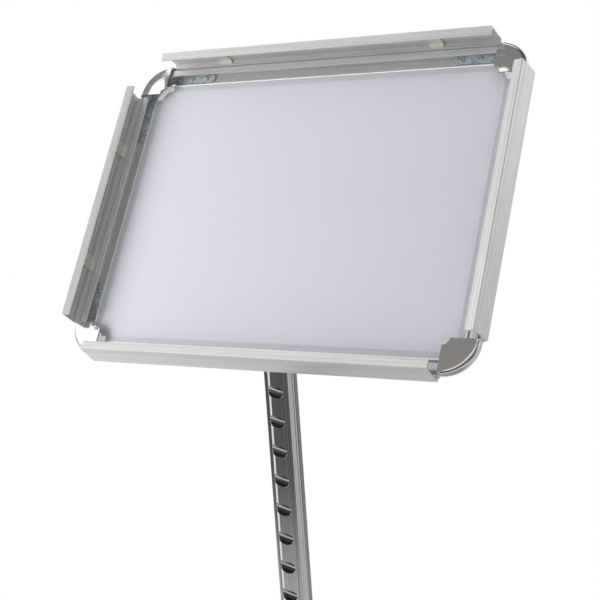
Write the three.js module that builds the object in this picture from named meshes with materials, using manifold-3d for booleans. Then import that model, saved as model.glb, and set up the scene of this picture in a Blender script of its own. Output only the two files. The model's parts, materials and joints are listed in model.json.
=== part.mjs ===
// Floor-standing sign stand: a tilting snap frame on a notched extruded post.
// Units are millimetres. +Z is up, the sign faces -Y, and the origin is on the floor under the post.
import * as THREE from "three";
import * as BufferGeometryUtils from "three/addons/utils/BufferGeometryUtils.js";
import Module from "manifold-3d";

const wasm = await Module();
wasm.setup();

// ---- Driving dimensions ----
const FRAME_WIDTH = 464;
const FRAME_HEIGHT = 345;
const CORNER_RADIUS = 32;
const FRAME_DEPTH = 18;
const TILT_DEG = 32.5; // how far the sign leans back from upright
const PIVOT_HEIGHT = 909.6;
const PIVOT_BELOW_CENTRE = 143; // along the sign's own height
const PIVOT_BEHIND_FACE = 38.5; // along the sign's own normal
const GAP = 0.3; // clearance between touching pieces

const COVER_PIVOT = new THREE.Vector2(4.2, -6.7); // outward from the edge, forward of the cap tops
const COVER_OPEN_DEG = { top: 85, right: 82, bottom: 81, left: 82 };
const COVER_INNER_EDGE = -24;
const COVER_SHOULDER = 4.4;
const COVER_WALL = 1.3;
const BEAD_RADIUS = 1.6;
const LIP_RUN = 0.5;
const LIP_DROP = 10.2;
const SPRING_LENGTH = 16;
const SPRING_INSET = 70; // from a cover's end
const SPRING_THICKNESS = 0.45;

const RAIL_FLOOR = -15.6;
const LEDGE_TOP = -13.6;
const BOARD_WIDTH = 420;
const BOARD_HEIGHT = 301;
const BOARD_DROP = 1.2; // the board has slid down its own slack
const BOARD_THICKNESS = 1.5;
const BOARD_CHAMFER = 6;
const SHEET_WIDTH = 437;
const SHEET_HEIGHT = 316;
const SHEET_THICKNESS = 0.5;
const SHEET_CHAMFER = 12;

const CAP_NOTCH_RADIUS = 6.5; // the quarter circle left open at the cap's inner corner
const CAP_WALL = 1.6;
const CAP_BULGE = 4.6; // how far its shoulder swells past the flat top

const BRACKET_INSET = 6.9; // from the frame's edge to the bar's middle
const BRACKET_WIDTH = 10;
const BRACKET_THICKNESS = 1.6;
const BRACKET_REACH = 48.8; // beyond the cap, to the middle of the round end
const SCREW_STATIONS = [22.4, 42.7]; // along each bracket leg from the cap

const POST_HALF_WIDTH = 14;
const POST_HALF_DEPTH = 13;
const POST_BOTTOM = 12;
const POST_TOP = 893;
const BULGE_HALF_WIDTH = 10.2;
const BULGE_RISE = 6.5;
const NOTCH_RADIUS = 6.5;
const NOTCH_DEPTH = 4.4;
const NOTCH_SLANT_DEG = 12; // its right end lies lower
const NOTCH_PITCH = 31.3;
const TOP_NOTCH = 862.7;
const BOTTOM_NOTCH_LIMIT = 90;
const CORE_HALF_WIDTH = 8.6;
const CORE_FRONT = -5.8;
const CORE_BACK = 9;

const BASE_SIZE = 340;
const BASE_THICKNESS = 6;
const BASE_CORNER = 36;
const FOOT_HEIGHT = 4;
const FOOT_RADIUS = 14;
const FOOT_INSET = 34;
const SOCKET_HALF_WIDTH = 19;
const SOCKET_HALF_DEPTH = 18;
const SOCKET_HEIGHT = 38;
const FLANGE_HALF_WIDTH = 32;
const FLANGE_HALF_DEPTH = 31;
const FLANGE_THICKNESS = 3;
const BASE_BOLT_RADIUS = 4;
const BASE_BOLT_TOP = 34;
const PLUG_TOP = 52;

const EAR_RADIUS = 9;
const EAR_THICKNESS = 5;
const TONGUE_HALF_WIDTH = 7;
const PIVOT_BOLT_RADIUS = 3;
const PIVOT_BORE_RADIUS = 3.1;
const SPIGOT_LENGTH = 24; // of the fork, down inside the post
const KNOB_RADIUS = 13.4;
const KNOB_LOBE = 1.6;
const KNOB_LOBE_COUNT = 5;
const KNOB_HUB_RADIUS = 8;
const KNOB_LENGTH = 19;
const BACK_RAIL_WIDTH = 37;
const BACK_RAIL_DEPTH = 7.5;
const BACK_RAIL_WALL = 1.6;

// ---- Materials ----
function metal(name, color, roughness) {
  return new THREE.MeshStandardMaterial({ name, color, roughness, metalness: 1 });
}
function plastic(name, color, roughness) {
  return new THREE.MeshStandardMaterial({ name, color, roughness, metalness: 0 });
}
const anodised = () => metal("anodised_aluminium", 0xc4c6c8, 0.32);
const polished = () => metal("polished_post", 0x9c9da0, 0.22);
const chrome = () => metal("chrome", 0xd8d8d8, 0.06);
const zinc = () => metal("zinc_plated_steel", 0x9fb0bd, 0.3);
const spring = () => metal("spring_steel", 0x8d8f92, 0.35);
const paintedSteel = () => plastic("painted_steel", 0xb4b6b8, 0.45);
const blackPlastic = () => plastic("black_plastic", 0x1c1c1e, 0.5);
const rubber = () => plastic("rubber", 0x202022, 0.85);
const whiteBoard = () => plastic("white_board", 0xe6e6ea, 0.5);
const clearSheet = () => plastic("clear_sheet", 0xe4e4ee, 0.2);

const model = new THREE.Group();

function addPart(parent, name, geometry, material) {
  const mesh = new THREE.Mesh(geometry, material);
  mesh.name = name;
  parent.add(mesh);
  return mesh;
}

// ---- Geometry helpers ----
function toSolid(geometry) {
  const bare = geometry.clone();
  bare.deleteAttribute("normal");
  bare.deleteAttribute("uv");
  const merged = BufferGeometryUtils.mergeVertices(bare, 1e-4);
  const vertProperties = new Float32Array(merged.attributes.position.array);
  const triVerts = new Uint32Array(merged.index.array);
  return new wasm.Manifold(new wasm.Mesh({ numProp: 3, vertProperties, triVerts }));
}

function toGeometry(solid) {
  const mesh = solid.getMesh();
  const positions = [];
  for (let i = 0; i < mesh.vertProperties.length; i += mesh.numProp) {
    positions.push(...mesh.vertProperties.slice(i, i + 3));
  }
  const geometry = new THREE.BufferGeometry();
  geometry.setAttribute("position", new THREE.Float32BufferAttribute(positions, 3));
  geometry.setIndex(Array.from(mesh.triVerts));
  geometry.computeVertexNormals();
  return geometry;
}

function cut(geometry, ...tools) {
  return toGeometry(tools.reduce((solid, tool) => solid.subtract(toSolid(tool)), toSolid(geometry)));
}

function join(...pieces) {
  return toGeometry(pieces.map(toSolid).reduce((a, b) => a.add(b)));
}

function boxBetween(x0, y0, z0, x1, y1, z1) {
  const geometry = new THREE.BoxGeometry(x1 - x0, y1 - y0, z1 - z0);
  return geometry.translate((x0 + x1) / 2, (y0 + y1) / 2, (z0 + z1) / 2);
}

function extrude(shape, length, curveSegments = 8) {
  return new THREE.ExtrudeGeometry(shape, { depth: length, bevelEnabled: false, curveSegments });
}

// A section drawn as (outward, forward), run along local X and centred on it.
function alongSide(shape, length, curveSegments = 8) {
  const geometry = extrude(shape, length, curveSegments).translate(0, 0, -length / 2);
  const outward = new THREE.Vector3(0, 1, 0);
  const forward = new THREE.Vector3(0, 0, 1);
  const along = new THREE.Vector3(1, 0, 0);
  return geometry.applyMatrix4(new THREE.Matrix4().makeBasis(outward, forward, along));
}

// A shape drawn as (y, z), extruded along X from xStart by width.
function alongX(shape, width, xStart, curveSegments = 8) {
  const geometry = extrude(shape, width, curveSegments);
  const basis = new THREE.Matrix4().makeBasis(
    new THREE.Vector3(0, 1, 0), new THREE.Vector3(0, 0, 1), new THREE.Vector3(1, 0, 0));
  return geometry.applyMatrix4(basis).translate(xStart, 0, 0);
}

function cylinderX(radius, x0, x1, segments = 24) {
  const geometry = new THREE.CylinderGeometry(radius, radius, x1 - x0, segments);
  return geometry.rotateZ(Math.PI / 2).translate((x0 + x1) / 2, 0, 0);
}

function cylinderZ(radius, z0, z1, segments = 24) {
  const geometry = new THREE.CylinderGeometry(radius, radius, z1 - z0, segments);
  return geometry.rotateX(Math.PI / 2).translate(0, 0, (z0 + z1) / 2);
}

function polygon(points) {
  return new THREE.Shape(points.map(([x, y]) => new THREE.Vector2(x, y)));
}

function roundedRectangle(halfX, halfY, radius) {
  const shape = new THREE.Shape();
  shape.absarc(halfX - radius, halfY - radius, radius, 0, Math.PI / 2, false);
  shape.absarc(radius - halfX, halfY - radius, radius, Math.PI / 2, Math.PI, false);
  shape.absarc(radius - halfX, radius - halfY, radius, Math.PI, 1.5 * Math.PI, false);
  shape.absarc(halfX - radius, radius - halfY, radius, 1.5 * Math.PI, 2 * Math.PI, false);
  return shape;
}

// ---- Base ----
function buildBase() {
  const plateBottom = FOOT_HEIGHT;
  const plateTop = plateBottom + BASE_THICKNESS;
  const outline = roundedRectangle(BASE_SIZE / 2, BASE_SIZE / 2, BASE_CORNER);
  const plate = extrude(outline, BASE_THICKNESS).translate(0, 0, plateBottom);
  const boltHole = cylinderZ(BASE_BOLT_RADIUS + GAP, 0, plateTop + 1);
  addPart(model, "base_plate", cut(plate, boltHole), paintedSteel());

  const footPlace = BASE_SIZE / 2 - FOOT_INSET;
  const signs = [[-1, -1], [1, -1], [1, 1], [-1, 1]];
  signs.forEach(([sx, sy], index) => {
    const profile = [[0, 0], [FOOT_RADIUS - 1.5, 0], [FOOT_RADIUS, 1.5], [FOOT_RADIUS, FOOT_HEIGHT - GAP],
      [0, FOOT_HEIGHT - GAP]];
    const points = profile.map(([r, z]) => new THREE.Vector2(r, z));
    const foot = new THREE.LatheGeometry(points, 16).rotateX(Math.PI / 2);
    addPart(model, `base_foot_${index}`, foot, rubber()).position.set(sx * footPlace, sy * footPlace, 0);
  });

  const socketBottom = plateTop + GAP;
  const flangeOutline = roundedRectangle(FLANGE_HALF_WIDTH, FLANGE_HALF_DEPTH, 8);
  const flange = extrude(flangeOutline, FLANGE_THICKNESS).translate(0, 0, socketBottom);
  const sleeveOutline = roundedRectangle(SOCKET_HALF_WIDTH, SOCKET_HALF_DEPTH, 4);
  const sleeve = extrude(sleeveOutline, SOCKET_HEIGHT).translate(0, 0, socketBottom);
  const wellHalfX = POST_HALF_WIDTH + GAP;
  const wellHalfY = POST_HALF_DEPTH + GAP;
  const well = boxBetween(-wellHalfX, -wellHalfY, POST_BOTTOM - GAP, wellHalfX, wellHalfY, 60);
  const throat = cylinderZ(BASE_BOLT_RADIUS + GAP, 0, POST_BOTTOM + 1);
  addPart(model, "base_socket", cut(join(flange, sleeve), well, throat), anodised());

  const head = new THREE.CylinderGeometry(7.2, 7.2, 2.4, 6).rotateX(Math.PI / 2).translate(0, 0, 2.4);
  const shank = cylinderZ(BASE_BOLT_RADIUS, 3, BASE_BOLT_TOP, 16);
  addPart(model, "base_bolt", join(head, shank), zinc());
}

// ---- Post ----
// The post's section: a convex front between two grooves, and a deep slot down each side.
function postOutline() {
  const w = POST_HALF_WIDTH;
  const d = POST_HALF_DEPTH;
  const edge = BULGE_HALF_WIDTH;
  const right = [
    [edge, BULGE_RISE - d], [edge + 0.2, -5.9], [edge + 0.9, -5.9], [edge + 1.1, -6.8], [11.6, -6.8],
    [13.3, -6.1], [w, -4.4], [w, 1.4], [w - 0.6, 1.7], [w - 0.6, 2.4], [w, 2.7], [w, 5.8], [w - 3, 5.8],
    [w - 3, 11.6], [w, 11.6], [w, d - 0.4], [w - 0.4, d], [3, d], [2.6, d - 1.4],
  ];
  const left = right.map(([x, y]) => [-x, y]).reverse();
  const radius = (edge * edge + BULGE_RISE * BULGE_RISE) / (2 * BULGE_RISE);
  const reach = Math.asin(edge / radius);
  const bulge = [];
  const steps = 12;
  for (let i = 1; i < steps; i += 1) {
    const angle = reach * ((2 * i) / steps - 1);
    bulge.push([radius * Math.sin(angle), radius - d - radius * Math.cos(angle)]);
  }
  return polygon([...bulge, ...right, ...left]);
}

// A slanting scallop across the round front: its outline is an almond.
function notchCutter(height) {
  const cutter = cylinderX(NOTCH_RADIUS, -BULGE_HALF_WIDTH - 0.1, BULGE_HALF_WIDTH + 0.1, 36);
  cutter.rotateY(THREE.MathUtils.degToRad(NOTCH_SLANT_DEG));
  return cutter.translate(0, NOTCH_DEPTH - POST_HALF_DEPTH - NOTCH_RADIUS, height);
}

function buildPost() {
  const core = boxBetween(-CORE_HALF_WIDTH, CORE_FRONT, 0, CORE_HALF_WIDTH, CORE_BACK, POST_TOP + 10);
  const blank = extrude(postOutline(), POST_TOP - POST_BOTTOM).translate(0, 0, POST_BOTTOM);
  const notches = [];
  for (let z = TOP_NOTCH; z > BOTTOM_NOTCH_LIMIT; z -= NOTCH_PITCH) {
    notches.push(notchCutter(z));
  }
  addPart(model, "post", cut(blank, core, ...notches), polished());

  const plugHalfX = CORE_HALF_WIDTH - GAP;
  const plugFront = CORE_FRONT + GAP;
  const plugBack = CORE_BACK - GAP;
  const plug = boxBetween(-plugHalfX, plugFront, POST_BOTTOM + 1, plugHalfX, plugBack, PLUG_TOP);
  const boltBore = cylinderZ(BASE_BOLT_RADIUS + GAP, 0, BASE_BOLT_TOP + 6, 16);
  addPart(model, "post_plug", cut(plug, boltBore), anodised());
}

// ---- Head: a fork on the post, and the bolt and knob that clamp the tongue in it ----
function earShape() {
  const ear = new THREE.Shape();
  const foot = POST_TOP + GAP + 3 - PIVOT_HEIGHT;
  ear.moveTo(-EAR_RADIUS, foot);
  ear.lineTo(EAR_RADIUS, foot);
  ear.absarc(0, 0, EAR_RADIUS, 0, Math.PI, false);
  return ear;
}

function buildHead() {
  const earInner = TONGUE_HALF_WIDTH + GAP;
  const earOuter = earInner + EAR_THICKNESS;
  const plateBottom = POST_TOP + GAP;
  const plate = extrude(roundedRectangle(POST_HALF_WIDTH, EAR_RADIUS + 1.4, 2), 4);
  plate.translate(0, 0, plateBottom);
  const plugHalfX = CORE_HALF_WIDTH - GAP;
  const spigotFront = CORE_FRONT + GAP;
  const spigotBack = CORE_BACK - GAP;
  const spigotBottom = POST_TOP - SPIGOT_LENGTH;
  const spigot = boxBetween(-plugHalfX, spigotFront, spigotBottom, plugHalfX, spigotBack, plateBottom + 1);
  const rightEar = alongX(earShape(), EAR_THICKNESS, earInner).translate(0, 0, PIVOT_HEIGHT);
  const leftEar = alongX(earShape(), EAR_THICKNESS, -earOuter).translate(0, 0, PIVOT_HEIGHT);
  const bore = cylinderX(PIVOT_BORE_RADIUS, -30, 30).translate(0, 0, PIVOT_HEIGHT);
  addPart(model, "head_fork", cut(join(plate, spigot, rightEar, leftEar), bore), anodised());

  const shank = cylinderX(PIVOT_BOLT_RADIUS, -earOuter - 1, earOuter + 12);
  const boltHead = new THREE.CylinderGeometry(5.6, 5.6, 4, 6).rotateZ(Math.PI / 2);
  boltHead.translate(-earOuter - GAP - 2, 0, 0);
  const bolt = addPart(model, "pivot_bolt", join(shank, boltHead), zinc());
  bolt.position.set(0, 0, PIVOT_HEIGHT);

  const knob = addPart(model, "tilt_knob", knobGeometry(), blackPlastic());
  knob.position.set(earOuter + GAP, 0, PIVOT_HEIGHT);
}

// A lobed clamping knob on a short hub, along +X from its seat.
function knobGeometry() {
  const hub = cylinderX(KNOB_HUB_RADIUS, 0, KNOB_LENGTH - 10, 24);
  const points = [];
  const steps = 40;
  for (let i = 0; i < steps; i += 1) {
    const angle = (2 * Math.PI * i) / steps;
    const radius = KNOB_RADIUS + KNOB_LOBE * Math.cos(KNOB_LOBE_COUNT * angle);
    points.push([radius * Math.cos(angle), radius * Math.sin(angle)]);
  }
  const grip = alongX(polygon(points), 12, KNOB_LENGTH - 12);
  const bore = cylinderX(PIVOT_BORE_RADIUS, -1, KNOB_LENGTH - 5.5);
  return cut(join(hub, grip), bore);
}

// ---- Sign: everything that tilts, in the sign's own frame ----
// Local X is right, local Y is up the sign and local Z is out of its face.
const tiltGroup = new THREE.Group();
tiltGroup.position.set(0, 0, PIVOT_HEIGHT);
tiltGroup.rotation.x = THREE.MathUtils.degToRad(90 - TILT_DEG);
model.add(tiltGroup);
const sign = new THREE.Group();
sign.position.set(0, PIVOT_BELOW_CENTRE, PIVOT_BEHIND_FACE);
tiltGroup.add(sign);

function buildTongueAndBackRail() {
  const frameBack = -FRAME_DEPTH;
  const railTop = frameBack - GAP;
  const railBack = railTop - BACK_RAIL_DEPTH;
  const halfWidth = BACK_RAIL_WIDTH / 2;
  const upperEnd = FRAME_HEIGHT / 2 - 4;
  const lowerEnd = -(FRAME_HEIGHT / 2) + 8;
  const outer = boxBetween(-halfWidth, lowerEnd, railBack, halfWidth, upperEnd, railTop);
  const inside = halfWidth - BACK_RAIL_WALL;
  const floor = railBack + BACK_RAIL_WALL;
  const hollow = boxBetween(-inside, lowerEnd - 1, floor, inside, upperEnd + 1, railTop + 1);
  const screwHoles = backScrewPlaces().map(([x, y]) => cylinderZ(2.6, -40, 0, 8).translate(x, y, 0));
  addPart(sign, "back_rail", cut(outer, hollow, ...screwHoles), anodised());

  backScrewPlaces().forEach(([x, y], index) => {
    const head = cylinderZ(4.2, railBack - GAP - 2.2, railBack - GAP, 16);
    const shank = cylinderZ(2.2, railBack - 1, frameBack - GAP, 8);
    const slot = boxBetween(-0.6, -3, railBack - 4, 0.6, 3, railBack - GAP - 1.2);
    const screw = addPart(sign, `back_screw_${index}`, cut(join(head, shank), slot), zinc());
    screw.position.set(x, y, 0);
  });

  // The tongue: a block under the back rail whose round nose turns in the fork.
  const tongue = new THREE.Shape();
  const top = railBack - GAP + PIVOT_BEHIND_FACE;
  tongue.moveTo(EAR_RADIUS, 0);
  tongue.lineTo(EAR_RADIUS, top);
  tongue.lineTo(-EAR_RADIUS, top);
  tongue.lineTo(-EAR_RADIUS, 0);
  tongue.absarc(0, 0, EAR_RADIUS, Math.PI, 2 * Math.PI, false);
  const nose = alongX(tongue, 2 * TONGUE_HALF_WIDTH, -TONGUE_HALF_WIDTH);
  const neck = boxBetween(-TONGUE_HALF_WIDTH, 0, top - 4, TONGUE_HALF_WIDTH, 30, top);
  const pad = boxBetween(-halfWidth + 2, 22, top - 4, halfWidth - 2, 66, top);
  const bore = cylinderX(PIVOT_BORE_RADIUS, -30, 30);
  addPart(tiltGroup, "tilt_tongue", cut(join(nose, neck, pad), bore), anodised());
}

function backScrewPlaces() {
  const reach = FRAME_HEIGHT / 2 - 22.5;
  return [[-12.4, -reach], [12.4, -reach], [-12.4, reach], [12.4, reach]];
}

// The fixed rail under each cover, drawn as (outward, forward): bead seat, outer wall with a flat flange
// over the channel, channel and ledge.
function railSection() {
  const back = -FRAME_DEPTH;
  return polygon([
    [-26.4, back], [0, back], [0, -10.3], [4.8, -10.3], [5.4, -9.7], [5.4, -9], [4.6, -9.1], [0, -9.1],
    [0, -3.8], [-0.6, -3.2], [-7, -3.2], [-7.6, -3.8], [-7.6, -4.6], [-1.5, -4.6],
    [-1.5, RAIL_FLOOR], [-12.9, RAIL_FLOOR], [-12.9, LEDGE_TOP], [-24.9, LEDGE_TOP], [-24.9, LEDGE_TOP - 1.4],
    [-14.4, LEDGE_TOP - 1.4], [-14.4, back + 1.4], [-26.4, back + 1.4],
  ]);
}

// The snap cover when shut, drawn as (outward, forward): bead, outer wall, face and lip.
function coverSection() {
  const shape = new THREE.Shape();
  const bead = COVER_PIVOT;
  const outerX = bead.x + BEAD_RADIUS;
  const wallInnerX = outerX - COVER_WALL;
  const lipTipX = COVER_INNER_EDGE + LIP_RUN;
  shape.absarc(bead.x, bead.y, BEAD_RADIUS, Math.PI * 0.75, 2 * Math.PI, false);
  shape.lineTo(outerX, -COVER_SHOULDER);
  shape.quadraticCurveTo(outerX, 0, outerX - COVER_SHOULDER, 0);
  shape.lineTo(COVER_INNER_EDGE + 0.8, 0);
  shape.quadraticCurveTo(COVER_INNER_EDGE, 0, COVER_INNER_EDGE, -0.8);
  shape.lineTo(lipTipX, -LIP_DROP);
  shape.lineTo(lipTipX + 1.4, 0.5 - LIP_DROP);
  shape.lineTo(COVER_INNER_EDGE + COVER_WALL + 0.3, -COVER_WALL);
  shape.lineTo(outerX - COVER_SHOULDER - 0.6, -COVER_WALL);
  shape.quadraticCurveTo(wallInnerX, -COVER_WALL, wallInnerX, -COVER_SHOULDER - 0.4);
  return shape;
}

// A bowed leaf spring behind the shut cover's face, from its lip to its shoulder, as (outward, forward).
function springSection() {
  const start = new THREE.Vector2(COVER_INNER_EDGE + 2.2, -COVER_WALL - 2.4);
  const upper = new THREE.SplineCurve([
    start, new THREE.Vector2(-19.5, -2.4), new THREE.Vector2(-11, -2.7), new THREE.Vector2(-3, -1.8),
    new THREE.Vector2(0.8, -1.95), new THREE.Vector2(2.7, -3.2), new THREE.Vector2(3.6, -4.7),
  ]).getPoints(16);
  const lower = upper.map((point) => new THREE.Vector2(point.x, point.y - SPRING_THICKNESS)).reverse();
  return new THREE.Shape([...upper, ...lower]);
}

function coverGroup(side, openDegrees) {
  const hinge = new THREE.Group();
  hinge.position.set(0, COVER_PIVOT.x, COVER_PIVOT.y);
  hinge.rotation.x = THREE.MathUtils.degToRad(-openDegrees);
  side.add(hinge);
  const shut = new THREE.Group();
  shut.position.set(0, -COVER_PIVOT.x, -COVER_PIVOT.y);
  hinge.add(shut);
  return shut;
}

function buildSide(name, length, edgeDistance, turn) {
  const turned = new THREE.Group();
  turned.rotation.z = turn;
  sign.add(turned);
  const side = new THREE.Group();
  side.position.set(0, edgeDistance, 0);
  turned.add(side);
  addPart(side, `rail_${name}`, alongSide(railSection(), length - 2 * GAP), anodised());
  const shut = coverGroup(side, COVER_OPEN_DEG[name]);
  addPart(shut, `cover_${name}`, alongSide(coverSection(), length - 2 * GAP, 6), anodised());
  const springPlace = length / 2 - SPRING_INSET;
  [-springPlace, springPlace].forEach((place, index) => {
    const strip = alongSide(springSection(), SPRING_LENGTH);
    const leaf = addPart(shut, `spring_${name}_${index}`, strip, spring());
    leaf.position.set(place, 0, 0);
  });
}

// A quarter ring round the cap's inner corner: flat top, full shoulder and a wall that draws in below.
function capGeometry() {
  const depth = FRAME_DEPTH;
  const widest = CORNER_RADIUS + CAP_BULGE;
  const foot = CORNER_RADIUS + 0.6;
  const swell = -depth * 0.6;
  const outline = new THREE.Shape();
  outline.moveTo(CAP_NOTCH_RADIUS, -CAP_WALL);
  outline.lineTo(CAP_NOTCH_RADIUS, 0);
  outline.lineTo(CORNER_RADIUS, 0);
  outline.absarc(CORNER_RADIUS, -CAP_BULGE, CAP_BULGE, Math.PI / 2, 0, true);
  outline.quadraticCurveTo(widest, swell, foot, -depth);
  outline.lineTo(foot - CAP_WALL, -depth);
  outline.quadraticCurveTo(widest - CAP_WALL, swell, widest - CAP_WALL, -CAP_BULGE);
  outline.absarc(CORNER_RADIUS, -CAP_BULGE, CAP_BULGE - CAP_WALL, 0, Math.PI / 2, false);
  outline.lineTo(CAP_NOTCH_RADIUS, -CAP_WALL);
  const ring = new THREE.LatheGeometry(outline.getPoints(4).reverse(), 48).rotateX(Math.PI / 2);
  const reach = widest + 5;
  const quadrant = boxBetween(0, 0, -depth - 5, reach, reach, 5);
  return toGeometry(toSolid(ring).intersect(toSolid(quadrant)));
}

// Flat bar bent round under the cap, with a leg in each rail's channel. Its bend is about local (0, 0).
function bracketGeometry() {
  const half = BRACKET_WIDTH / 2;
  const middle = CORNER_RADIUS - BRACKET_INSET;
  const quarter = Math.PI / 2;
  const outline = new THREE.Shape();
  outline.moveTo(-BRACKET_REACH, middle + half);
  outline.absarc(-BRACKET_REACH, middle, half, quarter, 3 * quarter, false);
  outline.absarc(0, 0, middle - half, quarter, 0, true);
  outline.absarc(middle, -BRACKET_REACH, half, 2 * quarter, 4 * quarter, false);
  outline.absarc(0, 0, middle + half, 0, quarter, false);
  const bar = extrude(outline, BRACKET_THICKNESS, 6).translate(0, 0, RAIL_FLOOR + GAP);
  const holes = screwPlaces().map(([x, y]) => cylinderZ(1.9, RAIL_FLOOR - 1, 0, 8).translate(x, y, 0));
  return cut(bar, ...holes);
}

function screwPlaces() {
  const middle = CORNER_RADIUS - BRACKET_INSET;
  return SCREW_STATIONS.flatMap((station) => [[-station, middle], [middle, -station]]);
}

function screwGeometry() {
  const seat = RAIL_FLOOR + BRACKET_THICKNESS + 2 * GAP;
  const shank = cylinderZ(1.5, RAIL_FLOOR + GAP, seat + 0.5, 8);
  const head = cylinderZ(3, seat, seat + 1.2, 12);
  const slot = boxBetween(-2, -0.4, seat + 0.5, 2, 0.4, seat + 3);
  return cut(join(shank, head), slot);
}

function buildCorner(name, signX, signY) {
  const turn = { "1,1": 0, "-1,1": Math.PI / 2, "-1,-1": Math.PI, "1,-1": -Math.PI / 2 }[`${signX},${signY}`];
  const corner = new THREE.Group();
  const reachX = FRAME_WIDTH / 2 - CORNER_RADIUS;
  const reachY = FRAME_HEIGHT / 2 - CORNER_RADIUS;
  corner.position.set(signX * reachX, signY * reachY, 0);
  corner.rotation.z = turn;
  sign.add(corner);
  addPart(corner, `cap_${name}`, capGeometry(), chrome());
  addPart(corner, `bracket_${name}`, bracketGeometry(), zinc());
  screwPlaces().forEach(([x, y], index) => {
    const screw = addPart(corner, `bracket_screw_${name}_${index}`, screwGeometry(), zinc());
    screw.position.set(x, y, 0);
  });
}

function panelOutline(width, height, c) {
  const x = width / 2;
  const y = height / 2;
  return polygon([[-x + c, -y], [x - c, -y], [x, -y + c], [x, y - c], [x - c, y], [-x + c, y], [-x, y - c],
    [-x, -y + c]]);
}

function buildPanels() {
  const boardBack = LEDGE_TOP + GAP;
  const board = extrude(panelOutline(BOARD_WIDTH, BOARD_HEIGHT, BOARD_CHAMFER), BOARD_THICKNESS);
  addPart(sign, "backing_board", board, whiteBoard()).position.set(0, -BOARD_DROP, boardBack);
  const sheetBack = boardBack + BOARD_THICKNESS + GAP;
  const sheet = extrude(panelOutline(SHEET_WIDTH, SHEET_HEIGHT, SHEET_CHAMFER), SHEET_THICKNESS);
  addPart(sign, "clear_sheet", sheet, clearSheet()).position.set(0, -BOARD_DROP, sheetBack);
}

buildBase();
buildPost();
buildHead();
buildTongueAndBackRail();
buildSide("top", FRAME_WIDTH - 2 * CORNER_RADIUS, FRAME_HEIGHT / 2, 0);
buildSide("right", FRAME_HEIGHT - 2 * CORNER_RADIUS, FRAME_WIDTH / 2, -Math.PI / 2);
buildSide("bottom", FRAME_WIDTH - 2 * CORNER_RADIUS, FRAME_HEIGHT / 2, Math.PI);
buildSide("left", FRAME_HEIGHT - 2 * CORNER_RADIUS, FRAME_WIDTH / 2, Math.PI / 2);
buildCorner("top_right", 1, 1);
buildCorner("top_left", -1, 1);
buildCorner("bottom_left", -1, -1);
buildCorner("bottom_right", 1, -1);
buildPanels();

export default model;
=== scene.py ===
"""Sign stand: finished surfaces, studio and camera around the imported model. Named lengths are in mm."""
import json
import math

import bmesh
import bpy
from mathutils import Matrix, Vector


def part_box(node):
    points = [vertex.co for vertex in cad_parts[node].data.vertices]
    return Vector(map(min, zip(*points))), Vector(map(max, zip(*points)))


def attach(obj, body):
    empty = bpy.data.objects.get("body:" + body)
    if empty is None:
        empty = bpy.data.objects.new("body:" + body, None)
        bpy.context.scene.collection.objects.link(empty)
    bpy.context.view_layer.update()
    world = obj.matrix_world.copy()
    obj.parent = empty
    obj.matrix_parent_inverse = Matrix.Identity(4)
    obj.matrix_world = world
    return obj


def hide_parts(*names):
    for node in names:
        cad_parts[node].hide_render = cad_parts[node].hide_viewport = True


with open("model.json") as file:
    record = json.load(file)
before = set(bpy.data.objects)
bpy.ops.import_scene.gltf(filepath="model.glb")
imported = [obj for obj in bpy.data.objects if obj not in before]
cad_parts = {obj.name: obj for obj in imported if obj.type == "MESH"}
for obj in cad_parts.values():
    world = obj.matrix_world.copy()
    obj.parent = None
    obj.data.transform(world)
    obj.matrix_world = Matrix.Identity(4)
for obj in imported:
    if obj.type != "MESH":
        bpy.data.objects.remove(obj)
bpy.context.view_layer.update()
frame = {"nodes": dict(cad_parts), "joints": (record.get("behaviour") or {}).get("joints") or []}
joints = {joint["name"]: joint for joint in frame["joints"]}
scene = bpy.context.scene

MM = 0.001
EVEN = (1, 1, 1)  # no stretch
SHARP_ANGLE = 30  # edges that turn by more are eased

# ---- The sign's own frame: X right, Y up the sign, Z out of its face ----
HINGE_OUT = 4.2  # from the frame's edge
HINGE_DEPTH = 6.7  # behind the tops of the caps
CORNER_RADIUS = 32
FRAME_DEPTH = 18
GAP = 0.3  # clearance between neighbours
AXIS = 0.001  # the nearest that a turned profile comes to its axis

RIGHT = Vector((1, 0, 0))
UP = Vector(joints["cover_left_hinge"]["axis"]).normalized()
NORMAL = RIGHT.cross(UP)


def hinge_place(side):
    return Vector(joints[f"cover_{side}_hinge"]["pos_m"])


CENTRE = (hinge_place("left") + hinge_place("right")) / 2 + NORMAL * HINGE_DEPTH * MM
HALF_WIDTH = (hinge_place("right") - hinge_place("left")).length / 2 / MM - HINGE_OUT
HALF_HEIGHT = (hinge_place("top") - hinge_place("bottom")).length / 2 / MM - HINGE_OUT
SIGN = Matrix.Translation(CENTRE) @ Matrix((RIGHT, UP, NORMAL)).transposed().to_4x4()

# ---- Rail, cover and spring sections, as (outward, forward, corner radius) ----
RAIL_SECTION = [
    (-26.4, -18, 0.2), (0, -18, 0.3), (0, -10.3, 0.2), (4.8, -10.3, 0.3), (5.4, -9.7, 0.3), (5.4, -9, 0.2),
    (4.6, -9.1, 0.2), (0, -9.1, 0.6), (0, -3.8, 0.3), (-0.6, -3.2, 0.3), (-7, -3.2, 0.3), (-7.6, -3.8, 0.3),
    (-7.6, -4.6, 0.2), (-1.5, -4.6, 0.4), (-1.5, -15.6, 0.4), (-12.9, -15.6, 0.4), (-12.9, -13.6, 0.3),
    (-24.9, -13.6, 0.3), (-24.9, -15, 0.2), (-14.4, -15, 0.3), (-14.4, -16.6, 0.3), (-26.4, -16.6, 0.2),
]
COVER_EDGE = -24  # its inner edge when shut
COVER_WALL = 1.3
COVER_SHOULDER = 4.4
BEAD_RADIUS = 1.6
LIP_DROP = 10.2
LIP_RUN = 0.5
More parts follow.
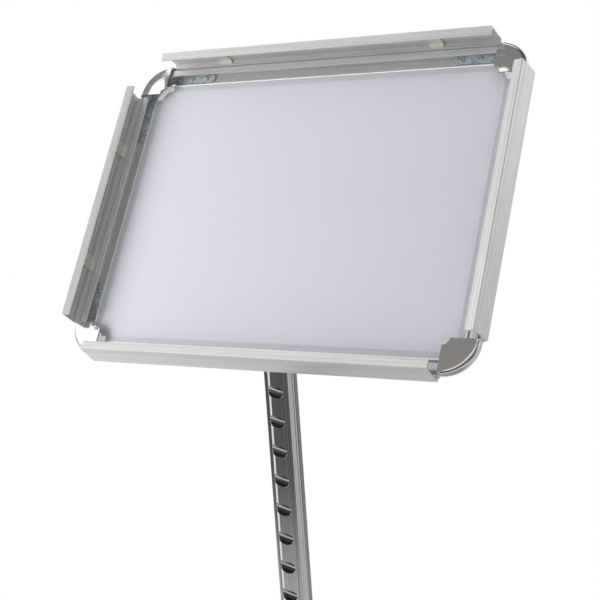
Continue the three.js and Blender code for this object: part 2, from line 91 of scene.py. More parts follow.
LIP_GROOVES = (3.0, 7.6)  # how far down the lip each one starts
LIP_GROOVE_DEPTH = 0.16
LIP_FILLET = (6.2, 4.6)  # inside the lip: how far along the face and down the lip it reaches
FACE_GROOVE = -17.6
FACE_GROOVE_DEPTH = 0.18
COVER_RIBS = ((-14.5, -11.5), (-5.2, -3.4))  # along the inside of the face
RIB_RISE = 0.5
SPRING_LENGTH = 16
SPRING_INSET = 70  # from a cover's end
SPRING_THICKNESS = 0.45
SPRING_POINTS = [
    (-21.8, -3.7), (-19.5, -2.4), (-11, -2.7), (-3, -1.8), (0.8, -1.95), (2.7, -3.2), (3.6, -4.7),
]

# ---- Corners ----
CAP_NOTCH = 6.5  # radius of the quarter circle left open at a cap's inner corner
CAP_WALL = 1.6
CAP_BULGE = 4.6
BRACKET_INSET = 6.9  # from the frame's edge to the bar's middle
BRACKET_WIDTH = 10
BRACKET_THICKNESS = 1.6
BRACKET_REACH = 48.8
CHANNEL_FLOOR = -15.6
SCREW_STATIONS = (22.4, 42.7)  # along a bracket's leg from the cap
SCREW_HEAD_RADIUS = 3
SCREW_HEAD_HEIGHT = 1.2
SCREW_SHANK_RADIUS = 1.5
SCREW_SHANK_LENGTH = 1.7
SIDE_TURNS = {"top": 0, "right": -90, "bottom": 180, "left": 90}
CORNERS = {
    "top_right": (1, 1, 0),
    "top_left": (-1, 1, 90),
    "bottom_left": (-1, -1, 180),
    "bottom_right": (1, -1, -90),
}

# ---- Panel ----
BOARD_CHAMFER = 6
SHEET_CHAMFER = 12
PANEL_CORNER = 2
SHEET_EDGE_HIGHLIGHT = (1.4, 1.0)  # where the painted highlight along the cut edge starts and is full, from the sheet's edge
SHEET_CLEARNESS = (0.38, 0.9)  # alpha of the sheet and of the painted highlight along its cut edge

# ---- Post: its section is drawn as (x, y), front at negative y ----
POST_HALF_WIDTH = 14
POST_HALF_DEPTH = 13
BULGE_HALF_WIDTH = 10.2
BULGE_RISE = 6.5
NOTCH_RADIUS = 6.5
NOTCH_DEPTH = 4.4
NOTCH_SLANT = math.radians(12)  # the right end lies lower
NOTCH_PITCH = 31.3
TOP_NOTCH = 862.7
LOWEST_NOTCH = 90
CORE_HALF_WIDTH = 8.6
CORE_FRONT = -5.8
CORE_BACK = 9
GUTTER_FLOOR = -5.9  # the narrow gutter on each side of the bulge
FLANGE_FRONT = -6.8
FLANGE_ROUND = 2.4
FINE_GROOVE = (1.4, 2.7)
FINE_GROOVE_DEPTH = 0.6
SIDE_SLOT = (5.8, 11.6)
SIDE_SLOT_DEPTH = 3
BACK_GROOVE_HALF_WIDTH = 3
BACK_GROOVE_DEPTH = 1.4

# ---- Base and knob ----
BASE_CORNER = 36
FOOT_GROOVE = (5, 3.2, 0.4)  # from the foot's edge: inner side, outer side, depth
KNOB_HUB_RADIUS = 8
KNOB_GRIP_RADIUS = 13.4
KNOB_GRIP_LENGTH = 12
KNOB_LOBES = 5
KNOB_LOBE = 1.6
KNOB_EASE = 2.2
KNOB_DISH_RADIUS = 7.6
KNOB_DISH_DEPTH = 1.4

# ---- Studio: lights as (place, size, power, aim), in metres and watts ----
AMBIENT = 0.46
LIGHTS = {
    "near": ((-0.90, -0.72, 1.22), 0.8, 13, CENTRE),
    "key": ((-2.2, -1.8, 2.6), 1.6, 10, CENTRE),
    "top": ((0.6, -0.4, 3.4), 3.0, 16, (0, 0, 0)),
}
# What reflections see in front of the sign: (upward share of the direction, brightness)
FRONT_TONES = (
    (0.0, 0.04), (0.09, 0.04), (0.13, 0.62), (0.50, 0.74), (0.64, 0.26), (0.86, 0.22), (0.95, 0.06),
)
PANEL_BRIGHTNESS = 1.15  # of the bright panel that the sign's left caps reflect
PANEL_RIGHT_EDGE = (-0.669, 0.743, 0)  # across the panel's upright right edge
PANEL_SLANT = (0.795, -0.064, 0.603)  # across its slanting upper edge
DARK_OVERHEAD = 0.12
DARK_BESIDE = 0.15
FLOOR_HALF_SIZE = 40

# ---- Camera, placed from the middle of the sign in metres ----
LENS = 78.7
CAMERA_FROM_SIGN = Vector((0.69305, -1.1627, 0.12678))
CAMERA_YAW = math.radians(-30.61)
CAMERA_PITCH = math.radians(-9.63)
CAMERA_ROLL = math.radians(-3.95)


# ======== Mesh helpers ========
def rounded(corners, steps=3):
    """A closed outline whose corners are eased by the radius each one names."""
    points = []
    for index, (x, y, radius) in enumerate(corners):
        here = Vector((x, y))
        before = Vector(corners[index - 1][:2]) - here
        after = Vector(corners[(index + 1) % len(corners)][:2]) - here
        if radius <= 0:
            points.append(here)
            continue
        reach = radius / math.tan(before.angle(after) / 2)
        reach = min(reach, 0.45 * before.length, 0.45 * after.length)
        start = here + before.normalized() * reach
        end = here + after.normalized() * reach
        points += curve(start, here, end, steps)
    return points


def arc(centre_x, centre_y, radius, start, end, steps):
    """Points on a circular arc, with its angles in degrees."""
    points = []
    for step in range(steps + 1):
        angle = math.radians(start + (end - start) * step / steps)
        points.append(Vector((centre_x + radius * math.cos(angle), centre_y + radius * math.sin(angle))))
    return points


def curve(start, control, end, steps):
    """Points on a quadratic curve."""
    a, b, c = Vector(start), Vector(control), Vector(end)
    points = []
    for step in range(steps + 1):
        t = step / steps
        points.append((1 - t) ** 2 * a + 2 * t * (1 - t) * b + t * t * c)
    return points


def lofted(rings, capped=True, looped=False):
    """A bmesh skinned over equal rings of 3-D points in mm; looped joins the last ring to the first."""
    mesh = bmesh.new()
    rows = [[mesh.verts.new(Vector(point) * MM) for point in ring] for ring in rings]
    count = len(rows[0])
    pairs = list(zip(rows, rows[1:]))
    if looped:
        pairs.append((rows[-1], rows[0]))
    for lower, upper in pairs:
        for i in range(count):
            j = (i + 1) % count
            mesh.faces.new((lower[i], lower[j], upper[j], upper[i]))
    if capped and not looped:
        mesh.faces.new(list(reversed(rows[0])))
        mesh.faces.new(rows[-1])
    bmesh.ops.recalc_face_normals(mesh, faces=mesh.faces)
    return mesh


def swept(outline, length):
    """A section drawn as (outward, forward), run along local X and centred on it."""
    return lofted([[(x, p.x, p.y) for p in outline] for x in (-length / 2, length / 2)])


def raised(outline, low, high):
    """An outline drawn as (x, y), raised along local Z."""
    return lofted([[(p.x, p.y, z) for p in outline] for z in (low, high)])


def turned(profile, segments=48, sweep=360):
    """A profile drawn as (radius, height), turned about local Z; less than a full turn is capped."""
    full = sweep == 360
    count = segments if full else segments + 1
    rings = []
    for index in range(count):
        angle = math.radians(sweep * index / segments)
        rings.append([(p[0] * math.cos(angle), p[0] * math.sin(angle), p[1]) for p in profile])
    return lofted(rings, capped=not full, looped=full)


def finish_mesh(name, mesh, smooth_angle=32):
    """A bmesh as mesh data with soft shading between faces that meet at less than the angle."""
    bmesh.ops.remove_doubles(mesh, verts=mesh.verts, dist=1e-7)
    bmesh.ops.dissolve_degenerate(mesh, edges=mesh.edges, dist=1e-7)
    data = bpy.data.meshes.new(name)
    mesh.to_mesh(data)
    mesh.free()
    data.shade_smooth()
    data.set_sharp_from_angle(angle=math.radians(smooth_angle))
    return data


def place(name, data, matrix, body, material, slot, nodes):
    """Puts one finished piece in the scene, riding on its body in place of its CAD nodes."""
    piece = bpy.data.objects.new(name, data)
    if not data.materials:
        data.materials.append(material)
    piece.matrix_world = matrix
    scene.collection.objects.link(piece)
    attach(piece, body)
    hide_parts(*nodes)
    return piece


def add_modifier(piece, kind, **settings):
    modifier = piece.modifiers.new(kind.lower(), kind)
    for key, value in settings.items():
        setattr(modifier, key, value)


def eased(piece, width, segments=2):
    """Rounds a piece's sharp edges."""
    add_modifier(piece, "BEVEL", width=width * MM, segments=segments, limit_method="ANGLE",
                 angle_limit=math.radians(SHARP_ANGLE), harden_normals=True)


def subtract(mesh, cutter):
    """mesh minus cutter, both bmeshes, as a new bmesh."""
    objects = []
    for label, source in (("blank", mesh), ("cutter", cutter)):
        data = bpy.data.meshes.new(label)
        source.to_mesh(data)
        source.free()
        obj = bpy.data.objects.new(label, data)
        scene.collection.objects.link(obj)
        objects.append(obj)
    blank, tool = objects
    add_modifier(blank, "BOOLEAN", object=tool, operation="DIFFERENCE", solver="EXACT")
    bpy.context.view_layer.update()
    evaluated = blank.evaluated_get(bpy.context.evaluated_depsgraph_get())
    result = bmesh.new()
    result.from_mesh(evaluated.to_mesh())
    evaluated.to_mesh_clear()
    for obj in objects:
        bpy.data.objects.remove(obj)
    return result


def bar(x0, y0, z0, x1, y1, z1):
    """A block between two corners in mm."""
    mesh = bmesh.new()
    size = Matrix.Diagonal(((x1 - x0) * MM, (y1 - y0) * MM, (z1 - z0) * MM, 1))
    middle = Matrix.Translation(Vector(((x0 + x1) / 2, (y0 + y1) / 2, (z0 + z1) / 2)) * MM)
    bmesh.ops.create_cube(mesh, size=1, matrix=middle @ size)
    return mesh


# ======== Material helpers ========
class Nodes:
    """Short-hand for building a node tree."""

    def __init__(self, tree, fresh=True):
        self.tree = tree
        if fresh:
            tree.nodes.clear()

    def add(self, kind, inputs=None, **settings):
        node = self.tree.nodes.new(kind)
        for key, value in settings.items():
            setattr(node, key, value)
        for key, value in (inputs or {}).items():
            if isinstance(value, bpy.types.NodeSocket):
                self.tree.links.new(value, node.inputs[key])
            else:
                node.inputs[key].default_value = value
        return node

    def math(self, operation, a, b=0.0):
        return self.add("ShaderNodeMath", {0: a, 1: b}, operation=operation).outputs[0]

    def between(self, value, low, high, out_low, out_high):
        """Maps value smoothly from low..high onto out_low..out_high."""
        inputs = {"Value": value, "From Min": low, "From Max": high, "To Min": out_low, "To Max": out_high}
        return self.add("ShaderNodeMapRange", inputs, interpolation_type="SMOOTHSTEP").outputs[0]

    def mix(self, factor, a, b):
        """Colour a where the factor is 0 and b where it is 1."""
        node = self.add("ShaderNodeMix", data_type="RGBA")
        for socket, value in zip((node.inputs[0], node.inputs[6], node.inputs[7]), (factor, a, b)):
            if isinstance(value, bpy.types.NodeSocket):
                self.tree.links.new(value, socket)
            else:
                socket.default_value = value
        return node.outputs[2]

    def own_place(self):
        """The x, y and z of a point in the piece's own coordinates."""
        place_node = self.add("ShaderNodeTexCoord")
        return self.add("ShaderNodeSeparateXYZ", {0: place_node.outputs["Object"]}).outputs

    def noise(self, stretch, scale, detail=3.0, roughness=0.5):
        """Noise over the piece's own coordinates, stretched along each axis."""
        place_node = self.add("ShaderNodeTexCoord")
        mapping = self.add("ShaderNodeMapping", {"Vector": place_node.outputs["Object"], "Scale": stretch})
        inputs = {"Vector": mapping.outputs[0], "Scale": scale, "Detail": detail, "Roughness": roughness}
        return self.add("ShaderNodeTexNoise", inputs).outputs["Fac"]


def surface(name, colour, roughness, bump, constants):
    """A material from the functions that make its colour, roughness and height, and its constant inputs.

    bump is (height function, strength, distance in mm).
    """
    material = bpy.data.materials.new(name)
    material.use_nodes = True
    nodes = Nodes(material.node_tree)
    inputs = {"Base Color": colour(nodes), "Roughness": roughness(nodes)}
    height, strength, distance = bump
    bump_inputs = {"Height": height(nodes), "Strength": strength, "Distance": distance * MM}
    inputs["Normal"] = nodes.add("ShaderNodeBump", bump_inputs).outputs[0]
    inputs.update(constants)
    shader = nodes.add("ShaderNodeBsdfPrincipled", inputs)
    nodes.add("ShaderNodeOutputMaterial", {"Surface": shader.outputs[0]})
    return material


def grey(value, warm=0.0):
    """A grey, or a slightly warm one."""
    return (value * (1 + warm), value, value * (1 - warm), 1)


def drawn_metal(name, along, dark, light, roughness, strength, metallic):
    """Extruded metal: fine lines run the length of the profile, with faint cloudiness over them."""
    stretch = tuple(0.002 if axis == along else 1 for axis in range(3))

    def colour(nodes):
        lines = nodes.noise(stretch, 1400, 4, 0.65)
        clouds = nodes.noise(EVEN, 22, 3, 0.5)
        streaked = nodes.mix(nodes.between(lines, 0.3, 0.7, 0, 1), dark, light)
        return nodes.mix(nodes.between(clouds, 0.35, 0.7, 0, 0.08), streaked, grey(0.55))

    def rough(nodes):
        lines = nodes.noise(stretch, 900, 3, 0.6)
        return nodes.between(lines, 0.3, 0.7, roughness[0], roughness[1])

    def height(nodes):
        return nodes.noise(stretch, 2600, 3, 0.7)

    return surface(name, colour, rough, (height, strength, 0.05), {"Metallic": metallic})


def bulge_radius():
    """Radius of the arc that the front of the post follows."""
    return (BULGE_HALF_WIDTH ** 2 + BULGE_RISE ** 2) / (2 * BULGE_RISE)


def polished_post():
    """The drawn finish of the post, with painted shade in the lower half of each scallop."""
    material = drawn_metal("polished_post", 2, grey(0.62), grey(0.86), (0.09, 0.16), 0.08, 1.0)
    nodes = Nodes(material.node_tree, fresh=False)
    shader = nodes.tree.nodes["Principled BSDF"]
    metal = shader.inputs["Base Color"].links[0].from_socket
    x, y, z = nodes.own_place()
    # The phase is 0.5 at the middle of each scallop and grows downwards.
    level = nodes.math("ADD", z, nodes.math("MULTIPLY", x, math.tan(NOTCH_SLANT)))
    below = nodes.math("DIVIDE", nodes.math("SUBTRACT", TOP_NOTCH * MM, level), NOTCH_PITCH * MM)
    phase = nodes.math("FRACT", nodes.math("ADD", below, 0.5))
    past_middle = nodes.between(phase, 0.52, 0.56, 0, 1)
    short_of_foot = nodes.between(phase, 0.70, 0.72, 1, 0)
    lower = nodes.math("MULTIPLY", past_middle, short_of_foot)
    radius = bulge_radius()
    middle = (0, (radius - POST_HALF_DEPTH) * MM, 0)
    flat = nodes.add("ShaderNodeCombineXYZ", {0: x, 1: y})
    reach = nodes.add("ShaderNodeVectorMath", {0: flat.outputs[0], 1: middle}, operation="DISTANCE")
    sunk = nodes.between(reach.outputs["Value"], (radius - 0.5) * MM, (radius - 0.25) * MM, 1, 0)
    ahead = nodes.between(y, (FLANGE_FRONT - 0.8) * MM, (FLANGE_FRONT - 0.4) * MM, 1, 0)
    # Painted shade: the lower half of each scallop, sunk into the bulge and ahead of the flanges, is
    # coloured near black.
    dark = nodes.math("MULTIPLY", nodes.math("MULTIPLY", lower, sunk), ahead)
    colour = nodes.mix(dark, metal, grey(0.05))
    nodes.tree.links.new(colour, shader.inputs["Base Color"])
    return material


def chrome():
    """Bright plating outside. The inside of a cap, below its top and short of its wall, is painted dark as
    shade.
    """
    def colour(nodes):
        bright = nodes.mix(nodes.noise(EVEN, 60, 2), (0.86, 0.845, 0.83, 1), (0.92, 0.915, 0.91, 1))
        x, y, z = nodes.own_place()
        flat = nodes.add("ShaderNodeCombineXYZ", {0: x, 1: y}).outputs[0]
        radius = nodes.add("ShaderNodeVectorMath", {0: flat}, operation="LENGTH").outputs["Value"]
        under = nodes.between(z, -0.8 * MM, -0.3 * MM, 1, 0)
        within = nodes.between(radius, (CORNER_RADIUS - 2) * MM, (CORNER_RADIUS - 1) * MM, 1, 0)
        # Painted shade: the inside of the cap is coloured near black.
        return nodes.mix(nodes.math("MULTIPLY", under, within), bright, grey(0.12, 0.04))

    def rough(nodes):
        return nodes.between(nodes.noise(EVEN, 130, 5, 0.7), 0.35, 0.75, 0.025, 0.075)

    def height(nodes):
        return nodes.noise(EVEN, 45, 2)

    return surface("chrome", colour, rough, (height, 0.01, 0.05), {"Metallic": 1.0})


def zinc():
    """Bluish plating with cloudy crystals and a few warm patches."""
    def colour(nodes):
        clouds = nodes.noise(EVEN, 190, 4, 0.6)
        blue = nodes.mix(nodes.between(clouds, 0.3, 0.7, 0, 1), (0.34, 0.42, 0.47, 1), (0.74, 0.80, 0.84, 1))
        patches = nodes.between(nodes.noise(EVEN, 75, 2), 0.5, 0.72, 0, 0.6)
        return nodes.mix(patches, blue, (0.86, 0.84, 0.76, 1))

    def rough(nodes):
        return nodes.between(nodes.noise(EVEN, 260, 4, 0.6), 0.3, 0.7, 0.2, 0.4)

    def height(nodes):
        return nodes.noise(EVEN, 900, 4, 0.6)

    return surface("zinc_plated_steel", colour, rough, (height, 0.3, 0.05), {"Metallic": 0.55})


def spring_steel():
    """Warm rolled steel with lines across each leaf's width."""
    def colour(nodes):
        lines = nodes.noise((1, 0.03, 1), 1500, 3, 0.6)
        return nodes.mix(nodes.between(lines, 0.3, 0.7, 0, 1), (0.66, 0.64, 0.57, 1), (0.84, 0.82, 0.74, 1))

    def rough(nodes):
        return nodes.between(nodes.noise((1, 0.05, 1), 700, 3), 0.3, 0.7, 0.26, 0.42)

    def height(nodes):
        return nodes.noise((1, 0.03, 1), 2400, 3)

    return surface("spring_steel", colour, rough, (height, 0.2, 0.03), {"Metallic": 0.45})


def powder_coat():
    """Grey paint with fine flecks and a slight orange peel."""
    def colour(nodes):
        flecks = nodes.between(nodes.noise(EVEN, 1600, 3, 0.6), 0.35, 0.65, 0, 1)
        return nodes.mix(flecks, (0.42, 0.43, 0.44, 1), (0.60, 0.61, 0.62, 1))

    def rough(nodes):
        return nodes.between(nodes.noise(EVEN, 500, 2), 0.3, 0.7, 0.38, 0.52)

    def height(nodes):
        return nodes.noise(EVEN, 1100, 4, 0.55)

    return surface("painted_steel", colour, rough, (height, 0.35, 0.12), {"Metallic": 0.35})


def moulded(name, dark, light, roughness, grain):
    """Matt moulded rubber or plastic."""
    def colour(nodes):
        return nodes.mix(nodes.noise(EVEN, grain * 0.2, 3), dark, light)

    def rough(nodes):
        return nodes.between(nodes.noise(EVEN, grain * 0.5, 3), 0.3, 0.7, roughness[0], roughness[1])

    def height(nodes):
        return nodes.noise(EVEN, grain, 4, 0.6)

    return surface(name, colour, rough, (height, 0.3, 0.08), {})


def board_white():
    """A smooth board, white with a trace of blue."""
    def colour(nodes):
        return nodes.mix(nodes.noise(EVEN, 5, 1), (0.75, 0.755, 0.815, 1), (0.77, 0.775, 0.835, 1))

    def rough(nodes):
        return nodes.between(nodes.noise(EVEN, 60, 3), 0.3, 0.7, 0.42, 0.5)

    def height(nodes):
        return nodes.noise(EVEN, 1200, 3)

    return surface("white_board", colour, rough, (height, 0.05, 0.03), {"Specular IOR Level": 0.4})


def clear_sheet():
    """A clear sheet over the board: it veils what is under it, and a highlight is painted along its cut
    edge.
    """
    # Painted highlight: how far into the near-white band along the sheet's edge a point lies.
    def edge_highlight(nodes):
        low, high = panel_reach("clear_sheet")
        where = nodes.own_place()
        start, full = SHEET_EDGE_HIGHLIGHT
        edges = []
        for axis in range(2):
            middle = (low[axis] + high[axis]) / 2
            half = (high[axis] - low[axis]) / 2
            away = nodes.math("ABSOLUTE", nodes.math("SUBTRACT", where[axis], middle * MM))
            edges.append(nodes.between(away, (half - start) * MM, (half - full) * MM, 0, 1))
        return nodes.math("MAXIMUM", edges[0], edges[1])

    def colour(nodes):
        veil = nodes.mix(nodes.noise(EVEN, 6, 1), (0.66, 0.66, 0.72, 1), (0.68, 0.68, 0.74, 1))
        # Painted highlight: near white along the sheet's edge.
        return nodes.mix(edge_highlight(nodes), veil, grey(0.97))

    def rough(nodes):
        return nodes.between(nodes.noise(EVEN, 300, 3), 0.3, 0.7, 0.30, 0.36)

    def height(nodes):
        return nodes.noise(EVEN, 1600, 2)

    material = surface("clear_sheet", colour, rough, (height, 0.03, 0.03), {"Specular IOR Level": 0.7})
    nodes = Nodes(material.node_tree, fresh=False)
    shader = nodes.tree.nodes["Principled BSDF"]
    # The sheet turns nearly opaque under the painted highlight.
    nodes.tree.links.new(nodes.between(edge_highlight(nodes), 0, 1, *SHEET_CLEARNESS), shader.inputs["Alpha"])
    return material


def panel_reach(node):
    """The lowest and highest corner of the board or sheet in the sign's own frame."""
    corners = [SIGN.inverted() @ vertex.co / MM for vertex in frame["nodes"][node].data.vertices]
    return [tuple(pick(corner[axis] for corner in corners) for axis in range(3)) for pick in (min, max)]


ANODISED = drawn_metal("anodised_aluminium", 0, grey(0.66), grey(0.88), (0.32, 0.42), 0.12, 0.72)
ANODISED_UPRIGHT = drawn_metal("anodised_upright", 2, grey(0.72), grey(0.82), (0.34, 0.42), 0.08, 0.75)
POLISHED = polished_post()
CHROME = chrome()
ZINC = zinc()
SPRING = spring_steel()
POWDER = powder_coat()
RUBBER = moulded("rubber", grey(0.018), grey(0.03), (0.7, 0.85), 900)
BLACK = moulded("black_plastic", grey(0.02), grey(0.035), (0.38, 0.5), 1400)
BOARD = board_white()
SHEET = clear_sheet()


# ======== Frame sides ========
def side_matrix(side):
    """A frame side's own frame: X along it, Y outward, Z out of the sign's face."""
    distance = HALF_HEIGHT if side in ("top", "bottom") else HALF_WIDTH
    turn = Matrix.Rotation(math.radians(SIDE_TURNS[side]), 4, "Z")
    return SIGN @ turn @ Matrix.Translation((0, distance * MM, 0))


def side_length(side):
    """A side's length between its two corner caps."""
    half = HALF_WIDTH if side in ("top", "bottom") else HALF_HEIGHT
    return 2 * (half - CORNER_RADIUS)


def cover_matrix(side):
    """The side's own frame, swung about the hinge line to where the cover stands open."""
    hinge = Vector((0, HINGE_OUT, -HINGE_DEPTH)) * MM
    opened = Matrix.Rotation(-math.radians(joints[f"cover_{side}_hinge"]["range_deg"][1]), 4, "X")
    return side_matrix(side) @ Matrix.Translation(hinge) @ opened @ Matrix.Translation(-hinge)


def cover_outline():
    """Bead, outer wall, face with a groove, grooved lip, a deep fillet inside the lip, and ribs."""
    outer = HINGE_OUT + BEAD_RADIUS
    inner = outer - COVER_WALL
    lip_inside = COVER_EDGE + COVER_WALL
    tip = COVER_EDGE + LIP_RUN
    slope = LIP_RUN / LIP_DROP
    points = arc(HINGE_OUT, -HINGE_DEPTH, BEAD_RADIUS, 135, 360, 20)
    points += curve((outer, -COVER_SHOULDER), (outer, 0), (outer - COVER_SHOULDER, 0), 12)
    for along, sink in ((0, 0), (0.2, FACE_GROOVE_DEPTH), (0.5, FACE_GROOVE_DEPTH), (0.7, 0)):
        points.append(Vector((FACE_GROOVE - along, -sink)))
    points += curve((COVER_EDGE + 1.2, 0), (COVER_EDGE, 0), (COVER_EDGE + slope, -1.2), 6)
    for groove in LIP_GROOVES:
        for along, sink in ((0, 0), (0.2, LIP_GROOVE_DEPTH), (0.6, LIP_GROOVE_DEPTH), (0.8, 0)):
            depth = groove + along
            points.append(Vector((COVER_EDGE + slope * depth + sink, -depth)))
    points += curve((tip - slope, 0.8 - LIP_DROP), (tip, -LIP_DROP), (tip + 0.6, -LIP_DROP + 0.1), 3)
    points += curve((tip + 0.9, 0.2 - LIP_DROP), (tip + 1.4, 0.4 - LIP_DROP), (tip + 1.2, 1.2 - LIP_DROP), 3)
    fillet_run, fillet_drop = LIP_FILLET
    points += curve((lip_inside + 1.1, -fillet_drop), (lip_inside + 0.2, -COVER_WALL),
                    (COVER_EDGE + fillet_run, -COVER_WALL), 10)
    for start, end in COVER_RIBS:
        points += arc(start + RIB_RISE, -COVER_WALL, RIB_RISE, 180, 270, 4)
        points += arc(end - RIB_RISE, -COVER_WALL, RIB_RISE, 270, 360, 4)
    points += curve((outer - COVER_SHOULDER - 0.6, -COVER_WALL), (inner, -COVER_WALL),
                    (inner, -COVER_SHOULDER - 0.4), 10)
    return points


def spring_outline():
    """A leaf of even thickness along a smooth curve through the spring's points."""
    ends = [Vector(point) for point in (SPRING_POINTS[0], *SPRING_POINTS, SPRING_POINTS[-1])]
    upper = []
    steps = 8
    for a, b, c, d in zip(ends, ends[1:], ends[2:], ends[3:]):
        for step in range(steps):
            t = step / steps
            upper.append(0.5 * (2 * b + t * (c - a) + t * t * (2 * a - 5 * b + 4 * c - d)
                                + t ** 3 * (3 * b - a - 3 * c + d)))
    upper.append(ends[-1])
    lower = [point - Vector((0, SPRING_THICKNESS)) for point in reversed(upper)]
    return upper + lower


def build_side(side):
    """One rail, its open cover, and the cover's two springs."""
    length = side_length(side) - 2 * GAP
    node = f"rail_{side}"
    rail = finish_mesh(node, swept(rounded(RAIL_SECTION), length))
    place(f"{node}_fine", rail, side_matrix(side), "sign", ANODISED, "anodised_aluminium", [node])
    opened = cover_matrix(side)
    body = f"cover_{side}"
    cover = finish_mesh(body, swept(cover_outline(), length))
    place(f"{body}_fine", cover, opened, body, ANODISED, "anodised_aluminium", [body])
    reach = side_length(side) / 2 - SPRING_INSET
    for index, along in enumerate((-reach, reach)):
        leaf = finish_mesh("spring", swept(spring_outline(), SPRING_LENGTH))
        matrix = opened @ Matrix.Translation((along * MM, 0, 0))
        node = f"spring_{side}_{index}"
        eased(place(f"{node}_fine", leaf, matrix, body, SPRING, "spring_steel", [node]), 0.12)


# ======== Corners ========
def cap_mesh():
    """A quarter ring: flat top with an eased inner edge, full shoulder, and a wall that draws in below."""
    wide = CORNER_RADIUS + CAP_BULGE
    foot = CORNER_RADIUS + 0.6
    swell = -FRAME_DEPTH * 0.6
    profile = curve((CAP_NOTCH, -0.6), (CAP_NOTCH, 0), (CAP_NOTCH + 0.6, 0), 4)
    profile += arc(CORNER_RADIUS, -CAP_BULGE, CAP_BULGE, 90, 0, 20)
    profile += curve((wide, -CAP_BULGE - 0.4), (wide, swell), (foot, -FRAME_DEPTH + 0.3), 12)
    profile += [Vector((foot - 0.3, -FRAME_DEPTH)), Vector((foot - CAP_WALL, -FRAME_DEPTH))]
    profile += curve((foot - CAP_WALL, -FRAME_DEPTH + 0.4), (wide - CAP_WALL, swell),
                     (wide - CAP_WALL, -CAP_BULGE - 0.2), 8)
    profile += arc(CORNER_RADIUS, -CAP_BULGE, CAP_BULGE - CAP_WALL, 0, 90, 8)
    profile += [Vector((CAP_NOTCH, -CAP_WALL))]
    return turned(profile, 60, 90)


def bracket_mesh():
    """An L bar that rounds the corner, with round ends."""
    half = BRACKET_WIDTH / 2
    middle = CORNER_RADIUS - BRACKET_INSET
    outline = arc(-BRACKET_REACH, middle, half, 90, 270, 18)
    outline += arc(0, 0, middle - half, 90, 0, 18)
    outline += arc(middle, -BRACKET_REACH, half, 180, 360, 18)
    outline += arc(0, 0, middle + half, 0, 90, 24)
    low = CHANNEL_FLOOR + GAP
    return raised(outline, low, low + BRACKET_THICKNESS)


def screw_mesh():
    """A pan head with a cross recess over a plain shank. The seat is local Z = 0."""
    radius = SCREW_HEAD_RADIUS
    top = SCREW_HEAD_HEIGHT
    foot = -SCREW_SHANK_LENGTH
    profile = [(AXIS, top)]
    profile += curve((radius * 0.55, top), (radius, top * 0.95), (radius, top * 0.25), 8)
    profile += [(radius - 0.1, 0), (SCREW_SHANK_RADIUS, 0), (SCREW_SHANK_RADIUS, foot), (AXIS, foot)]
    arm = radius * 0.55
    slot = radius * 0.13
    floor = top * 0.35
    screw = subtract(turned(profile, 32), bar(-arm, -slot, floor, arm, slot, top + 1))
    return subtract(screw, bar(-slot, -arm, floor, slot, arm, top + 1))


def build_corners():
    """At each corner a cap, a bracket and the bracket's screws."""
    middle = CORNER_RADIUS - BRACKET_INSET
    seat = CHANNEL_FLOOR + GAP + BRACKET_THICKNESS + GAP
    screw = finish_mesh("bracket_screw", screw_mesh())
    reach_x = (HALF_WIDTH - CORNER_RADIUS) * MM
    reach_y = (HALF_HEIGHT - CORNER_RADIUS) * MM
    for name, (sign_x, sign_y, turn) in CORNERS.items():
        where = Matrix.Translation((sign_x * reach_x, sign_y * reach_y, 0))
        corner = SIGN @ where @ Matrix.Rotation(math.radians(turn), 4, "Z")
        node = f"cap_{name}"
        cap = finish_mesh(node, cap_mesh())
        place(f"{node}_fine", cap, corner, "sign", CHROME, "chrome", [node])
        node = f"bracket_{name}"
        bracket = finish_mesh(node, bracket_mesh())
        eased(place(f"{node}_fine", bracket, corner, "sign", ZINC, "zinc_plated_steel", [node]), 0.3)
        spots = []
        for station in SCREW_STATIONS:
            spots += [(-station, middle), (middle, -station)]
        for index, (x, y) in enumerate(spots):
            node = f"bracket_screw_{name}_{index}"
            spin = Matrix.Rotation(math.radians(35 + 50 * index), 4, "Z")
            matrix = corner @ Matrix.Translation(Vector((x, y, seat)) * MM) @ spin
            place(f"{node}_fine", screw, matrix, "sign", ZINC, "zinc_plated_steel", [node])


# ======== Panel ========
def build_panel():
    """The white board and the clear sheet over it, cut to the CAD sizes with clipped corners."""
    pieces = (
        ("backing_board", BOARD, "white_board", 0.25, BOARD_CHAMFER),
        ("clear_sheet", SHEET, "clear_sheet", 0.1, SHEET_CHAMFER),
    )
    for node, material, slot, edge, clip in pieces:
        (x0, y0, low), (x1, y1, high) = panel_reach(node)
        corners = [
            (x0 + clip, y0), (x1 - clip, y0), (x1, y0 + clip), (x1, y1 - clip),
            (x1 - clip, y1), (x0 + clip, y1), (x0, y1 - clip), (x0, y0 + clip),
        ]
        outline = rounded([(x, y, PANEL_CORNER) for x, y in corners], 5)
        data = finish_mesh(node, raised(outline, low, high))
        eased(place(f"{node}_fine", data, SIGN, "sign", material, slot, [node]), edge)


